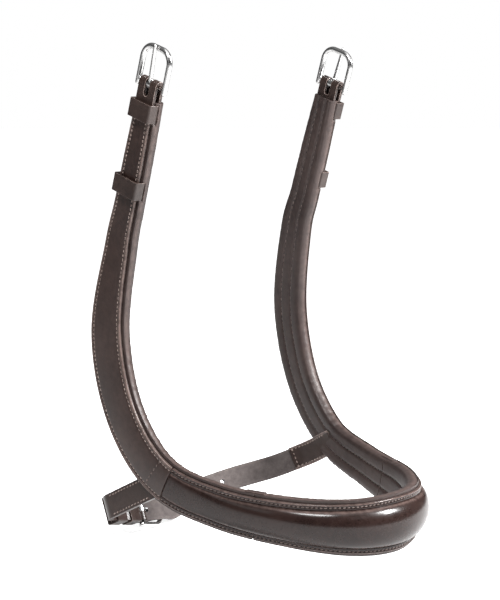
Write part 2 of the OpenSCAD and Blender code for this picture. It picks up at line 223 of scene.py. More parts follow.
def make_sky():
    """a room brighter above than below; only the camera sees a white wall"""
    world = bpy.data.worlds.new("studio")
    bpy.context.scene.world = world
    world.use_nodes = True
    tree = world.node_tree
    room = tree.nodes["Background"]
    direction = tree.nodes.new("ShaderNodeTexCoord").outputs["Generated"]
    height = add(tree, "ShaderNodeSeparateXYZ", {"Vector": direction}).outputs["Z"]
    bright = remap(tree, height, 0.0, 1.0, 0.1, 0.9)
    tree.links.new(mix(tree, bright, (0.1, 0.1, 0.105, 1), (0.5, 0.5, 0.5, 1)),
                   room.inputs["Color"])
    room.inputs["Strength"].default_value = 0.5
    wall = add(tree, "ShaderNodeBackground", {"Color": (1, 1, 1, 1), "Strength": 1.0})
    seen = tree.nodes.new("ShaderNodeLightPath").outputs["Is Camera Ray"]
    both = tree.nodes.new("ShaderNodeMixShader")
    tree.links.new(seen, both.inputs[0])
    tree.links.new(room.outputs[0], both.inputs[1])
    tree.links.new(wall.outputs[0], both.inputs[2])
    tree.links.new(both.outputs[0], tree.nodes["World Output"].inputs["Surface"])


def even_top_light():
    """a wide sun is a ceiling of light: the same on the whole floor"""
    data = bpy.data.lights.new("ceiling", "SUN")
    data.energy = 0.6
    data.angle = math.radians(50)
    light = link("ceiling", data)
    light.rotation_euler = (math.radians(12), math.radians(8), 0)


make_floor()
make_sky()
even_top_light()
soft_box("over", (0.46, -0.72, 0.68), (0.24, 0.3), 27)
soft_box("top", (-0.42, -0.3, 0.9), (0.3, 0.2), 9)
soft_box("front", (-0.2, -1.3, 1.0), (0.5, 0.4), 0.5)
soft_box("side", (-1.3, 0.1, 0.7), (0.4, 0.5), 0.8)
bpy.context.scene.view_settings.view_transform = "Standard"
print("floor, studio and four soft boxes")

# %% [markdown]
# ## The finishes
#
# Bridle leather is dyed almost black-brown, then waxed. Up close it has a fine
# pebble grain, slow changes of tone where the dye took unevenly, and paler,
# shinier lines along the edges and creases. Their paler colour is partly
# polish from an edge iron or a hand, and partly a painted highlight. One recipe
# makes all of these, and each leather only turns its knobs. An attribute on the
# mesh says where the leather is polished and where the painted highlight goes.

# %% Leather
def leather(name, dark, light, rub_and_highlight_colour, rough=(0.35, 0.5), grain=1900,
            depth=0.00009, crease=0.00018, coat=0.1, coat_rough=0.3, sheen=0.0,
            gloss=0.3):
    material, shader = new_material(name)
    tree = material.node_tree
    slow = grain_noise(tree, 22.0, 3)
    fine = grain_noise(tree, 260.0, 6, 0.65)
    tone = maths(tree, "ADD", maths(tree, "MULTIPLY", slow, 0.55),
                 maths(tree, "MULTIPLY", fine, 0.45))
    body = mix(tree, remap(tree, tone, 0.0, 1.0, 0.38, 0.64), dark, light)
    # paler colour on edges and creases, led by the attribute: partly polish, partly
    # painted highlight
    rub_and_highlight = add(tree, "ShaderNodeAttribute", attribute_name="rub_and_highlight").outputs["Fac"]
    rub_and_highlight_mix = maths(tree, "MULTIPLY", rub_and_highlight, remap(tree, fine, 0.35, 1.0, 0.35, 0.6))
    tree.links.new(mix(tree, rub_and_highlight_mix, body, rub_and_highlight_colour), shader.inputs["Base Color"])
    smooth = maths(tree, "MULTIPLY", rub_and_highlight, -0.12)
    tree.links.new(maths(tree, "ADD", remap(tree, tone, rough[0], rough[1]), smooth),
                   shader.inputs["Roughness"])
    pebble = add(tree, "ShaderNodeTexVoronoi", {
        "Vector": place(tree), "Scale": grain, "Randomness": 1.0}).outputs["Distance"]
    first = add(tree, "ShaderNodeBump", {
        "Height": pebble, "Distance": depth, "Strength": 0.6})
    folds = grain_noise(tree, 330.0, 5, 0.6)
    second = add(tree, "ShaderNodeBump", {
        "Height": folds, "Distance": crease, "Strength": 0.7,
        "Normal": first.outputs["Normal"]})
    tree.links.new(second.outputs["Normal"], shader.inputs["Normal"])
    shader.inputs["Specular IOR Level"].default_value = gloss
    shader.inputs["Coat Weight"].default_value = coat
    shader.inputs["Coat Roughness"].default_value = coat_rough
    shader.inputs["Sheen Weight"].default_value = sheen
    shader.inputs["Sheen Roughness"].default_value = 0.4
    return material


FACE = leather("face_leather", rgb(38, 27, 24), rgb(56, 42, 38), rgb(142, 122, 115),
               rough=(0.3, 0.42), coat=0.15)
NOSE = leather("nose_leather", rgb(26, 16, 14), rgb(40, 28, 25), rgb(130, 110, 104),
               rough=(0.22, 0.32), depth=0.00003, crease=0.0001, coat=0.35,
               coat_rough=0.16, gloss=0.12)
LINING = leather("lining_leather", rgb(40, 30, 28), rgb(60, 48, 45), rgb(108, 92, 87),
                 rough=(0.42, 0.55), grain=1500, depth=0.00007, crease=0.0002,
                 coat=0.08, coat_rough=0.35, sheen=0.05)
STRAP = leather("strap_leather", rgb(38, 28, 25), rgb(55, 43, 39), rgb(172, 152, 145),
                rough=(0.28, 0.4), coat=0.15)
FLESH = leather("flesh_side", rgb(64, 58, 57), rgb(94, 87, 85), rgb(134, 126, 122),
                rough=(0.75, 0.9), grain=700, depth=0.0001, crease=0.00025,
                coat=0.0, sheen=0.1, gloss=0.2)
EDGE = leather("edge_dye", rgb(30, 21, 19), rgb(44, 33, 30), rgb(160, 142, 135),
               rough=(0.28, 0.38), coat=0.25)
print("leathers:", [m.name for m in (FACE, NOSE, LINING, STRAP, FLESH, EDGE)])

# %% [markdown]
# The buckles are polished steel, so nearly all they show is the room. Faint
# brush marks and a little uneven polish keep them from looking like a mirror.
# The thread is waxed: brown, a little paler than the leather, with a twist. A
# darker one is used on the nose, the pads and across the cheeks.

# %% Steel and thread
def steel():
    material, shader = new_material("polished_steel")
    tree = material.node_tree
    cloud = grain_noise(tree, 120.0, 4)
    brush = grain_noise(tree, 900.0, 3, 0.6, stretch=(1.0, 1.0, 0.15))
    tree.links.new(mix(tree, cloud, (0.56, 0.555, 0.55, 1), (0.66, 0.655, 0.65, 1)),
                   shader.inputs["Base Color"])
    tree.links.new(remap(tree, cloud, 0.17, 0.26), shader.inputs["Roughness"])
    shader.inputs["Metallic"].default_value = 1.0
    bump = add(tree, "ShaderNodeBump",
               {"Height": brush, "Distance": 0.000006, "Strength": 0.1})
    tree.links.new(bump.outputs["Normal"], shader.inputs["Normal"])
    return material


def thread(name, dark, light):
    material, shader = new_material(name)
    tree = material.node_tree
    twist = add(tree, "ShaderNodeTexWave", {
        "Vector": place(tree), "Scale": 900.0, "Distortion": 2.0})
    fuzz = grain_noise(tree, 700.0, 3)
    tone = maths(tree, "MULTIPLY", twist.outputs["Fac"], fuzz)
    tree.links.new(mix(tree, remap(tree, tone, 0, 1, 0.1, 0.5), dark, light),
                   shader.inputs["Base Color"])
    tree.links.new(remap(tree, fuzz, 0.4, 0.6), shader.inputs["Roughness"])
    bump = add(tree, "ShaderNodeBump", {
        "Height": twist.outputs["Fac"], "Distance": 0.00006, "Strength": 0.5})
    tree.links.new(bump.outputs["Normal"], shader.inputs["Normal"])
    return material


STEEL = steel()
THREAD = thread("waxed_thread", rgb(84, 68, 62), rgb(170, 152, 144))
DARK_THREAD = thread("dark_thread", rgb(58, 47, 43), rgb(116, 100, 94))
# painted shade: a near-black lens stands for the shadow inside each needle hole
NEEDLE_HOLE_SHADE = thread("needle_hole_shade", rgb(14, 10, 9), rgb(26, 20, 18))
print("steel, thread and needle holes")

# %% [markdown]
# ## The path of the band
#
# The cheek straps and the nose piece are one long sandwich of layers, bent
# along one line in space. So that line is described once: a row of points,
# with the direction the leather faces, its half width and how far its
# face is raised. A smooth curve goes through them. Every layer is then a cross
# section carried along the same line, which keeps the layers from drifting
# apart. The points are in millimetres and repeat the CAD model's.

# %% Path of the band
LEAN = math.radians(17.5)
HALF_SPREAD, TOP_Y, STRAP_RISE = 86, 17.5, 281.5


def on_top(z):
    """a point of the straight top of the left strap, z above its end"""
    return (-HALF_SPREAD, TOP_Y - z * math.sin(LEAN), STRAP_RISE + z * math.cos(LEAN))


def row(point, facing, twist, half, crown):
    return (*point, facing, twist, half, crown)


LEFT_HALF = [
    row(on_top(0), -90, 0, 7.6, 0.0),
    row(on_top(-35), -90, 0, 9.0, 0.0),
    row(on_top(-70), -90, 0, 9.6, 0.0),
    row(on_top(-98), -89, 0, 10.7, 0.5),
    row((-89, 55, 131), -84, 1, 13, 0.8),
    row((-88.6, 41.5, 79), -82, 1, 13, 1.0),
    row((-85, 10, 43), -79, 1, 12.5, 1.0),
    row((-75.5, -34, 29.5), -74, -3, 12.7, 1.0),
    row((-57, -79.5, 24), -61, -9, 14.5, 1.0),
    row((-32, -109, 22), -34, -4, 15.9, 1.0),
    row((0, -119, 21.7), 0, 0, 16.8, 1.0)]
RIGHT_HALF = [(-x, y, z, -a, k, h, c) for x, y, z, a, k, h, c in LEFT_HALF[-2::-1]]
BAND = np.array(LEFT_HALF + RIGHT_HALF, float)
MIDDLE, LAST = 10, 20


def unit(v):
    return v / np.linalg.norm(v, axis=-1, keepdims=True)


def between(a, b, c, d, t):
    """a smooth curve from b at t = 0 to c at t = 1, steered by a and d"""
    return 0.5 * (2 * b + (c - a) * t + (2 * a - 5 * b + 4 * c - d) * t ** 2
                  + (3 * b - a - 3 * c + d) * t ** 3)


def spline(rows, u):
    """a smooth curve through the rows; u = 0, 1, 2 ... is on them"""
    i = np.minimum(np.floor(u).astype(int), len(rows) - 2)
    t = (u - i)[:, None]
    padded = np.vstack([2 * rows[0] - rows[1], rows, 2 * rows[-1] - rows[-2]])
    return between(*(padded[i + k] for k in range(4)), t)


def band(u):
    """point, direction across, direction outward, half width and crown"""
    at = spline(BAND, u)
    ahead = spline(BAND[:, :3], np.minimum(u + 0.02, LAST))
    behind = spline(BAND[:, :3], np.maximum(u - 0.02, 0))
    along = unit(ahead - behind)
    a, k = np.radians(at[:, 3]), np.radians(at[:, 4])
    facing = np.stack([np.sin(a) * np.cos(k), -np.cos(a) * np.cos(k), np.sin(k)], 1)
    across = unit(np.cross(facing, along))
    out = unit(np.cross(along, across))
    return at[:, :3], across, out, at[:, 5], np.maximum(at[:, 6], 0)


def stretches(path, start, end):
    """close values of u, and the length of the path between each two"""
    dense = np.linspace(start, end, 1500)
    return dense, np.linalg.norm(np.diff(path(dense)[0], axis=0), axis=1)


def evenly(path, start, end, step):
    """values of u from start to end, about one step of length apart"""
    dense, parts = stretches(path, start, end)
    run = np.concatenate([[0], np.cumsum(parts)])
    count = max(2, int(round(run[-1] / step)) + 1)
    return np.interp(np.linspace(0, run[-1], count), run, dense)


def run_length(path, start, end):
    return stretches(path, start, end)[1].sum()


print("band length %.0f mm" % run_length(band, 0, LAST))

# %% [markdown]
# ## Carrying a section along the path
#
# Blender can bevel a curve, but a bevelled curve has one section all along it
# and no say over what its edges look like. Here each layer changes in width
# and shape as it goes, so the skin is made point by point: one ring of points
# for each step, faces between neighbouring rings, and slightly drawn-in rings
# at the ends, because cut leather never ends in a knife-sharp edge.

# %% Skins
def skin(name, rings, rub_and_highlight, finish, materials):
    """rings (k, m, 3) in mm to a closed mesh; rub (k, m); finish: m indexes"""
    k, m, _ = rings.shape
    faces, index = [], []
    for i in range(k - 1):
        for j in range(m):
            a, b = i * m + j, i * m + (j + 1) % m
            faces.append((a, b, b + m, a + m))
            index.append(finish[j])
    faces += [tuple(range(m - 1, -1, -1)), tuple(range((k - 1) * m, k * m))]
    index += [0, 0]
    mesh = bpy.data.meshes.new(name)
    mesh.from_pydata((rings.reshape(-1, 3) * MM).tolist(), [], faces)
    mesh.polygons.foreach_set("material_index", index)
    mesh.polygons.foreach_set("use_smooth", [True] * len(faces))
    mesh.attributes.new("rub_and_highlight", "FLOAT", "POINT").data.foreach_set(
        "value", np.clip(rub_and_highlight, 0, 1).ravel().astype(np.float32))
    work = bmesh.new()
    work.from_mesh(mesh)
    bmesh.ops.recalc_face_normals(work, faces=work.faces)
    work.to_mesh(mesh)
    work.free()
    mesh.set_sharp_from_angle(angle=math.radians(50))
    return link(name, mesh, *materials)


def carry(path, us, section, end_round=0.5):
    """section(u, half, crown) gives (k, m, 3): across, outward, rub"""
    length = run_length(path, us[0], us[-1])
    per_mm = (us[-1] - us[0]) / length
    pull = np.array([1.0, 0.5, 0.15, 0.0])
    ends = end_round * (1 - np.sqrt(1 - pull ** 2))
    steps = end_round * (1 - pull) * per_mm
    us = np.concatenate([us[0] + steps, us[1:-1], us[-1] - steps[::-1]])
    inset = np.concatenate([ends, np.zeros(len(us) - 8), ends[::-1]])
    point, across, out, half, crown = path(us)
    shape = section(us, half, crown)
    low, high = shape[..., :2].min(1, keepdims=True), shape[..., :2].max(1, keepdims=True)
    centre, reach = (low + high) / 2, (high - low) / 2
    shape[..., :2] = centre + (shape[..., :2] - centre) * (
        1 - inset[:, None, None] / np.maximum(reach, 0.3))
    rings = (point[:, None] + across[:, None] * shape[..., 0:1]
             + out[:, None] * shape[..., 1:2])
    return rings, shape[..., 2]


def bell(x, at, wide):
    return np.exp(-((x - at) / wide) ** 2)


# %% [markdown]
# ## Face leather of the cheek straps
#
# The outer leather is two millimetres thick. Its edges are rounded over and
# creased with a hot iron, a row of stitching sinks into it 2.7 millimetres
# from each edge, and the filling behind lifts its middle. All of that is real
# shape in the section, so it catches light from every side. The material adds
# the grain, and a paler colour along the edges and the crease that is partly
# polish and partly a painted highlight.

# %% Cheek faces
FACE_T, BACK_T, FOAM_T, LINE_T, GAP = 2.0, 1.45, 4.85, 1.5, 0.06
DEEP_BACK = FACE_T + GAP
DEEP_FOAM = DEEP_BACK + BACK_T + GAP
DEEP_LINE = DEEP_FOAM + FOAM_T + GAP
DEEP_ALL = DEEP_LINE + LINE_T
STITCH_IN = 2.7
CREASE_IN = 1.25
EDGE_STEPS = np.array([0, 0.06, 0.2, 0.4, 0.65, 0.85, 1.05, 1.25, 1.45, 1.7, 2.0,
                       2.3, 2.7, 3.1, 3.5, 4.0])


def edge_drop(inside, radius=0.65):
    """how far a rounded edge has fallen away at a distance inside it"""
    short = np.clip(radius - inside, 0, radius)
    return radius - np.sqrt(np.maximum(radius ** 2 - short ** 2, 0))


def swell(x, half, crown):
    """height of a cheek face over its padded middle"""
    return crown * np.maximum(1 - (x / half) ** 2, 0) ** 1.4


def under_side(half):
    """the back of a face leather: two points at each of its cut edges"""
    zero = half * 0
    # the cut edges carry a little of the paler colour: partly polish, partly painted
    # highlight
    corners = ((half, -1.7, 0.2), (half - 0.3, -FACE_T, 0),
               (-half + 0.3, -FACE_T, 0), (-half, -1.7, 0.2))
    return np.stack([np.stack([x, zero + z, zero + wear_and_highlight], 1)
                     for x, z, wear_and_highlight in corners], 1)


def face_section(u, half, crown):
    middle = np.linspace(-1, 1, 11)[1:-1]
    h = half[:, None]
    x = np.concatenate([-h + EDGE_STEPS, (h - EDGE_STEPS[-1]) * middle,
                        h - EDGE_STEPS[::-1]], 1)
    inside = h - np.abs(x)
    z = (swell(x, h, crown[:, None])
         - 0.25 * bell(inside, CREASE_IN, 0.22) - 0.38 * bell(inside, STITCH_IN, 0.55)
         - edge_drop(inside))
    # paler along the rounded edge and the crease: partly polish, partly painted highlight
    wear_and_highlight = 0.75 * bell(inside, 0.35, 0.3) + 0.5 * bell(inside, CREASE_IN, 0.3)
    return np.concatenate([np.stack([x, z, wear_and_highlight], -1), under_side(half)], 1)


def mirrored(rings):
    flipped = rings.copy()
    flipped[..., 0] *= -1
    return flipped


TOP_END, SEAM, LINING_END = 1 / 6, 6 + 1 / 6, 7.5


def both_sides(name, rings, rub_and_highlight, finish, materials):
    return [skin("left_" + name, rings, rub_and_highlight, finish, materials),
            skin("right_" + name, mirrored(rings), rub_and_highlight, finish, materials)]


def cut_edges(m):
    """material 1 on the cut sides of a face leather, material 0 elsewhere"""
    return [1 if j in (m - 5, m - 4, m - 2, m - 1) else 0 for j in range(m)]


def make_cheek_faces():
    us = evenly(band, TOP_END, SEAM, 2.2)
    rings, rub_and_highlight = carry(band, us, face_section)
    pieces = both_sides("cheek_leather", rings, rub_and_highlight, cut_edges(rings.shape[1]),
                        (FACE, EDGE))
    for side, piece in zip(("left", "right"), pieces):
        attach(piece, "noseband")
        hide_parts(side + "_cheek_face")
    return pieces


cheek_faces = make_cheek_faces()
print("cheek leathers:", len(cheek_faces[0].data.vertices), "points each")

# %% [markdown]
# ## The nose piece
#
# Over the nose the leather is stretched wet over a firm core, so it stands up
# as a glossy roll with a flat stitched flange on each side. The height follows
# a rule: full over the middle, easing down towards each cheek.

# %% Nose cover
FLANGE = 3.8
DOME_H = 6.5
DOME_FULL, DOME_EASE = 1.4, 2.5
SEAM_GAP = 0.012


def rise(u):
    away = np.abs(u - MIDDLE)
    ease = np.clip((away - DOME_FULL) / DOME_EASE, 0, 1)
    return DOME_H * (0.57 + 0.43 * np.cos(math.pi * ease))


def nose_section(u, half, crown):
    h, up = half[:, None], rise(u)[:, None]
    steps = np.array([0, 0.06, 0.2, 0.4, 0.65, 0.9, 1.2, 1.5, 1.8, 2.1, 2.5, 2.9,
                      3.3, 3.6])
    turn = np.sin(np.linspace(-0.5, 0.5, 33) * math.pi)
    x = np.concatenate([-h + steps, (h - FLANGE) * turn, h - steps[::-1]], 1)
    inside = h - np.abs(x)
    over = np.clip(1 - (x / (h - FLANGE)) ** 2, 0, 1)
    z = (up * over ** 0.58 - 0.3 * bell(inside, 1.8, 0.5)
         - 0.25 * bell(inside, FLANGE, 0.35) - edge_drop(inside))
    # paler along the rounded edge and the foot of the roll: partly polish, partly painted
    # highlight
    wear_and_highlight = 0.6 * bell(inside, 0.35, 0.3) + 0.35 * bell(inside, FLANGE + 0.5, 0.5)
    return np.concatenate([np.stack([x, z, wear_and_highlight], -1), under_side(half)], 1)


def make_nose_cover():
    us = evenly(band, SEAM + SEAM_GAP, LAST - SEAM - SEAM_GAP, 2.0)
    rings, rub_and_highlight = carry(band, us, nose_section, 0.6)
    piece = skin("nose_cover", rings, rub_and_highlight, cut_edges(rings.shape[1]), (NOSE, EDGE))
    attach(piece, "noseband")
    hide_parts("nose_face", "nose_core")
    return piece


nose_cover = make_nose_cover()
print("nose cover:", len(nose_cover.data.vertices), "points")

# %% [markdown]
# ## The padded lining
#
# Soft lining leather is wrapped round a foam filling and stitched to the
# strap, so it bulges out past the edge of the face as a fat roll, is pulled in
# along two seams down its back, and puckers where the band bends. The pad is
# nine millimetres thick and its seams are about one wide, so the roll is made
# as a section too, which keeps them crisp. The puckers are small waves added
# to it, strongest where the band bends.

# %% Lining
KEEPERS = ((-7.0, 8.35), (-57.0, 9.7))  # height from the top end, room inside
KEEPER_LEN = 11.5
TOP_STEP = 35.0
ROLL_OUT = 1.2
CHANNEL_AT = 0.36
PAD_GAP = 0.01


def smooth_outline(points, per):
    """closed smooth outline through (k, m, 2) points, per steps each"""
    steered = [np.roll(points, k, 1) for k in (1, 0, -1, -2)]
    parts = [between(*steered, t) for t in np.arange(per) / per]
    return np.stack(parts, 2).reshape(points.shape[0], -1, 2)


def lining_outline(half):
    h = half + ROLL_OUT
    g = h * CHANNEL_AT
    zero = half * 0
    side = [(h - 0.6, zero - DEEP_BACK), (h + 0.05, zero - DEEP_BACK - 0.9),
            (h + 0.45, zero - DEEP_BACK - 2.6), (h + 0.35, zero - DEEP_BACK - 4.4),
            (h - 0.5, zero - DEEP_ALL + 1.2), (h - 1.9, zero - DEEP_ALL + 0.15),
            ((h + g) / 2 + 0.3, zero - DEEP_ALL - 0.25),
            (g + 1.0, zero - DEEP_ALL + 0.15), (g, zero - DEEP_ALL + 1.15),
            (g - 1.0, zero - DEEP_ALL + 0.3),
            (g * 0.45, zero - DEEP_ALL - 0.02)]
    right = np.stack([np.stack(p, 1) for p in side], 1)
    left = right[:, ::-1] * np.array([-1, 1])
    base = [(-h + 1.5, zero - DEEP_BACK - 0.1), (-h + 1.9, zero - DEEP_FOAM - 0.05),
            (h - 1.9, zero - DEEP_FOAM - 0.05), (h - 1.5, zero - DEEP_BACK - 0.1)]
    inner = np.stack([np.stack(p, 1) for p in base], 1)
    return smooth_outline(np.concatenate([right, left], 1), 3), inner


def pucker(u, x, z, half):
    """depth of the small folds of the lining, in mm"""
    here = np.stack([u * 38.0, x * 0.12, z * 0.2], -1)
    flat = here.reshape(-1, 3)
    fold = np.array([noise.noise(Vector(p) * 0.55) + 0.5 * noise.noise(Vector(p) * 1.2)
                     for p in flat]).reshape(x.shape)
    bend = 0.35 + 0.9 * bell(u, 6.3, 1.6) + 0.9 * bell(u, 13.7, 1.6)
    side = np.clip((np.abs(x) / half - 0.75) * 4, 0.2, 1)
    return 0.5 * fold * bend * side


def lining_section(u, half, crown):
    outline, inner = lining_outline(half)
    x, z = outline[..., 0], outline[..., 1]
    h = (half + ROLL_OUT)[:, None]
    deep = np.clip((-z - DEEP_BACK) / 1.5, 0, 1)
    push = pucker(np.broadcast_to(u[:, None], x.shape), x, z, h) * deep
    centre = -(DEEP_BACK + DEEP_ALL) / 2
    arm = np.hypot(x * 0.35, z - centre)
    x, z = x + push * x * 0.35 / arm, z + push * (z - centre) / arm
    x = np.clip(x, -h - 0.7, h + 0.7)
    drop = (u[:, None] < 3.5) & (z > -DEEP_FOAM - 1.15)
    for at, room in KEEPERS:
        along = -u * TOP_STEP
        near = np.abs(along - at)[:, None] < KEEPER_LEN / 2 + 0.3
        x = np.where(drop & near, np.clip(x, -room + 0.1, room - 0.1), x)
        limit = np.where(near, room - 0.2, 99.0)
        inner[..., 0] = np.clip(inner[..., 0], -limit, limit)
    groove = bell(np.abs(x), h * CHANNEL_AT, 0.5) * (z < -DEEP_LINE)
    # painted sheen: the colour is made paler, and smoother, along the outermost bulge of
    # the roll, but not in the seam grooves
    wear_and_highlight = 0.35 * bell(-z, DEEP_BACK + 2.6, 1.6) * (1 - groove)
    return np.concatenate([np.stack([x, z, wear_and_highlight], -1),
                           np.concatenate([inner, inner[..., :1] * 0], -1)], 1)


def make_lining(name, start, end, replaced, mirror=False):
    us = evenly(band, start, end, 1.6)
    rings, rub_and_highlight = carry(band, us, lining_section, 0.3)
    if mirror:
        rings = mirrored(rings)
    piece = skin(name, rings, rub_and_highlight, [0] * rings.shape[1], (LINING,))
    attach(piece, "noseband")
    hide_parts(*replaced)
    return piece


linings = [
    make_lining("left_cheek_pad", 0, LINING_END,
                ("left_cheek_lining", "left_cheek_foam")),
    make_lining("right_cheek_pad", 0, LINING_END,
                ("right_cheek_lining", "right_cheek_foam"), mirror=True),
    make_lining("nose_pad", LINING_END + PAD_GAP, LAST - LINING_END - PAD_GAP,
                ("nose_lining", "nose_foam"))]
print("pads:", [len(p.data.vertices) for p in linings])

# %% [markdown]
# ## The chin strap
#
# The chin strap is a single thickness of strap leather: waxed on the outside,
# pale and rough on the flesh side, with punched holes. It has its own path,
# over the buckle bar, under the frame and across to the other cheek. The holes
# go right through, so they are cut with a Boolean, and the flesh side is a
# second material on the faces of that side.

# %% Path of the chin strap
def turn(axis, degrees):
    return np.array(Matrix.Rotation(math.radians(degrees), 3, axis))


CHIN_TURN = turn("X", -29) @ turn("Y", 5.5) @ turn("Z", 19)
CHIN_FOLD = np.array([-89, 57.5, 14])
CHIN_T, TAB_T, BAR_AT, CHIN_HALF = 2.6, 3.2, 41.0, 8.0


def chin_point(x, y, z=0.0):
    return CHIN_FOLD + CHIN_TURN @ np.array([x, y, z])


ON_TAB, ON_BAR, UNDER = 2.96, 4.85, -3.22
STRAP_LINE = np.array([
    chin_point(9, ON_TAB), chin_point(17, ON_TAB), chin_point(25, ON_TAB),
    chin_point(BAR_AT - 9, ON_TAB), chin_point(BAR_AT - 6, ON_TAB + 0.25),
    chin_point(BAR_AT - 2.5, ON_BAR - 0.35), chin_point(BAR_AT + 1, ON_BAR),
    chin_point(BAR_AT + 5, ON_BAR - 0.4), chin_point(BAR_AT + 9.5, 1.6),
    chin_point(BAR_AT + 14, -1.7), chin_point(BAR_AT + 18.5, UNDER - 0.15),
    chin_point(BAR_AT + 25, UNDER - 0.5), chin_point(BAR_AT + 33, UNDER - 1.5),
    (2, 75, 3.2), (35, 69, 9.2), (65, 53, 16.5), (79, 38.5, 24.6),
    (80.6, 26, 31), (79.2, 16, 36.4), (77.6, 6, 41.5)])
STRAP_END = len(STRAP_LINE) - 1
EASE = np.clip((np.arange(STRAP_END + 1) - 12) / 5, 0, 1)[:, None]
STRAP_ACROSS = unit((CHIN_TURN @ np.array([0, 0, 1])) * (1 - EASE)
                    + np.array([-0.09, 0.48, 0.87]) * EASE)


def chin_path(u):
    at = spline(STRAP_LINE, u)
    along = unit(spline(STRAP_LINE, np.minimum(u + 0.03, STRAP_END))
                 - spline(STRAP_LINE, np.maximum(u - 0.03, 0)))
    out = unit(np.cross(spline(STRAP_ACROSS, u), along))
    across = unit(np.cross(along, out))
    return at, across, out, u * 0 + CHIN_HALF, u * 0


print("chin strap length %.0f mm" % run_length(chin_path, 0, STRAP_END))


# %% Chin strap
FLAT_STEPS = EDGE_STEPS[:12]
FLAT_MIDDLE = np.linspace(-1, 1, 7)[1:-1]
PUNCH_RADIUS = 1.7
HOLES_AT = np.array([12.45, 13.22, 13.84])
STIFFENER_LONG = 3.4


def flat_section(low, high, spread=0.0):
    """a flat strap: creased on the grain side, plain on the flesh side"""
    def section(u, half, crown):
        h = (half + spread)[:, None]
        x = np.concatenate([-h + FLAT_STEPS, (h - FLAT_STEPS[-1]) * FLAT_MIDDLE,
                            h - FLAT_STEPS[::-1]], 1)
        inside = h - np.abs(x)
        z = high - 0.2 * bell(inside, CREASE_IN, 0.25) - edge_drop(inside, 0.5)
        # paler along the rounded edge and the crease, a little on the flesh side too:
        # partly polish, partly painted highlight
        wear_and_highlight = 0.7 * bell(inside, 0.3, 0.3) + 0.4 * bell(inside, CREASE_IN, 0.3)
        down = x[:, ::-1][:, ::2]
        below = low + edge_drop(h - np.abs(down), 0.4)
        wear_and_highlight_below = wear_and_highlight[:, ::-1][:, ::2] * 0.4
        return np.concatenate([np.stack([x, z, wear_and_highlight], -1),
                               np.stack([down, below, wear_and_highlight_below], -1)], 1)
    return section


def cut(piece, *cutters):
    """takes the cutters out of the piece, and removes them"""
    for cutter in cutters:
        boolean = piece.modifiers.new("cut", "BOOLEAN")
        boolean.operation, boolean.solver, boolean.object = "DIFFERENCE", "EXACT", cutter
    seen = piece.evaluated_get(bpy.context.evaluated_depsgraph_get())
    mesh = bpy.data.meshes.new_from_object(seen)
    piece.modifiers.clear()
    piece.data = mesh
    for cutter in cutters:
        bpy.data.objects.remove(cutter)
    return piece


def punch(at, out):
    """a round cutter that stands through the strap"""
    ring = bmesh.new()
    bmesh.ops.create_cone(ring, cap_ends=True, segments=28, depth=0.012,
                          radius1=PUNCH_RADIUS * MM, radius2=PUNCH_RADIUS * MM)
    pose = Vector(out).to_track_quat("Z", "Y").to_matrix().to_4x4()
    pose.translation = Vector(at) * MM
    ring.transform(pose)
    mesh = bpy.data.meshes.new("punch")
    ring.to_mesh(mesh)
    ring.free()
    return link("punch", mesh, EDGE)


def tongue_room():
    """the slot that the chin buckle's tongue lies in"""
    profile = [(BAR_AT + 2.6, -0.4), (BAR_AT + 20, 0.6), (BAR_AT + 20, 9),
               (BAR_AT + 2.6, 3.4)]
    points = [chin_point(x, y, z) * MM for z in (-1.7, 1.7) for x, y in profile]
    faces = [(3, 2, 1, 0), (4, 5, 6, 7)] + [(j, (j + 1) % 4, (j + 1) % 4 + 4, j + 4)
                                            for j in range(4)]
    mesh = bpy.data.meshes.new("room")
    mesh.from_pydata(points, [], faces)
    return link("room", mesh, EDGE)


def make_chin_strap():
    us = evenly(chin_path, 0, STRAP_END, 1.8)
    rings, rub_and_highlight = carry(chin_path, us, flat_section(-CHIN_T / 2, CHIN_T / 2), 0.6)
    m = rings.shape[1]
    top = 2 * len(FLAT_STEPS) + len(FLAT_MIDDLE)
    finish = [0 if j < top - 1 else 2 if top <= j < m - 1 else 1 for j in range(m)]
    piece = skin("chin_strap_leather", rings, rub_and_highlight, finish, (STRAP, EDGE, FLESH))
    at, _, out, _, _ = chin_path(HOLES_AT)
    cut(piece, *[punch(p, n) for p, n in zip(at, out)], tongue_room())
    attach(piece, "noseband")
    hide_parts("chin_strap")
    return piece


def make_stiffener():
    us = evenly(chin_path, STRAP_END - STIFFENER_LONG, STRAP_END, 1.8)
    section = flat_section(CHIN_T / 2 + 0.1, CHIN_T / 2 + 1.9, 0.4)

    def inner(u, half, crown):
        shape = section(u, half, crown)
        shape[..., 1] *= -1
        return shape
    rings, rub_and_highlight = carry(chin_path, us, inner, 0.6)
    piece = skin("chin_strap_stiffener", rings, rub_and_highlight, [0] * rings.shape[1], (STRAP,))
    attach(piece, "noseband")
    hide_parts("chin_stiffener")
    return piece


chin_strap = make_chin_strap()
stiffener = make_stiffener()
print("chin strap:", len(chin_strap.data.vertices), "points")

# %% [markdown]
# ## Tabs and keepers
#
# A keeper is a leather loop that holds the free end of a strap down, and a tab
# is the folded piece that carries a buckle. Their CAD shapes are right but
# razor sharp. A copy of each is merged into one skin, its flat areas are made
# single faces again, and every edge is bevelled, as an edge iron would do it.
# The middle of each bevel is paler and smoother: partly polished leather,
# partly a painted highlight.

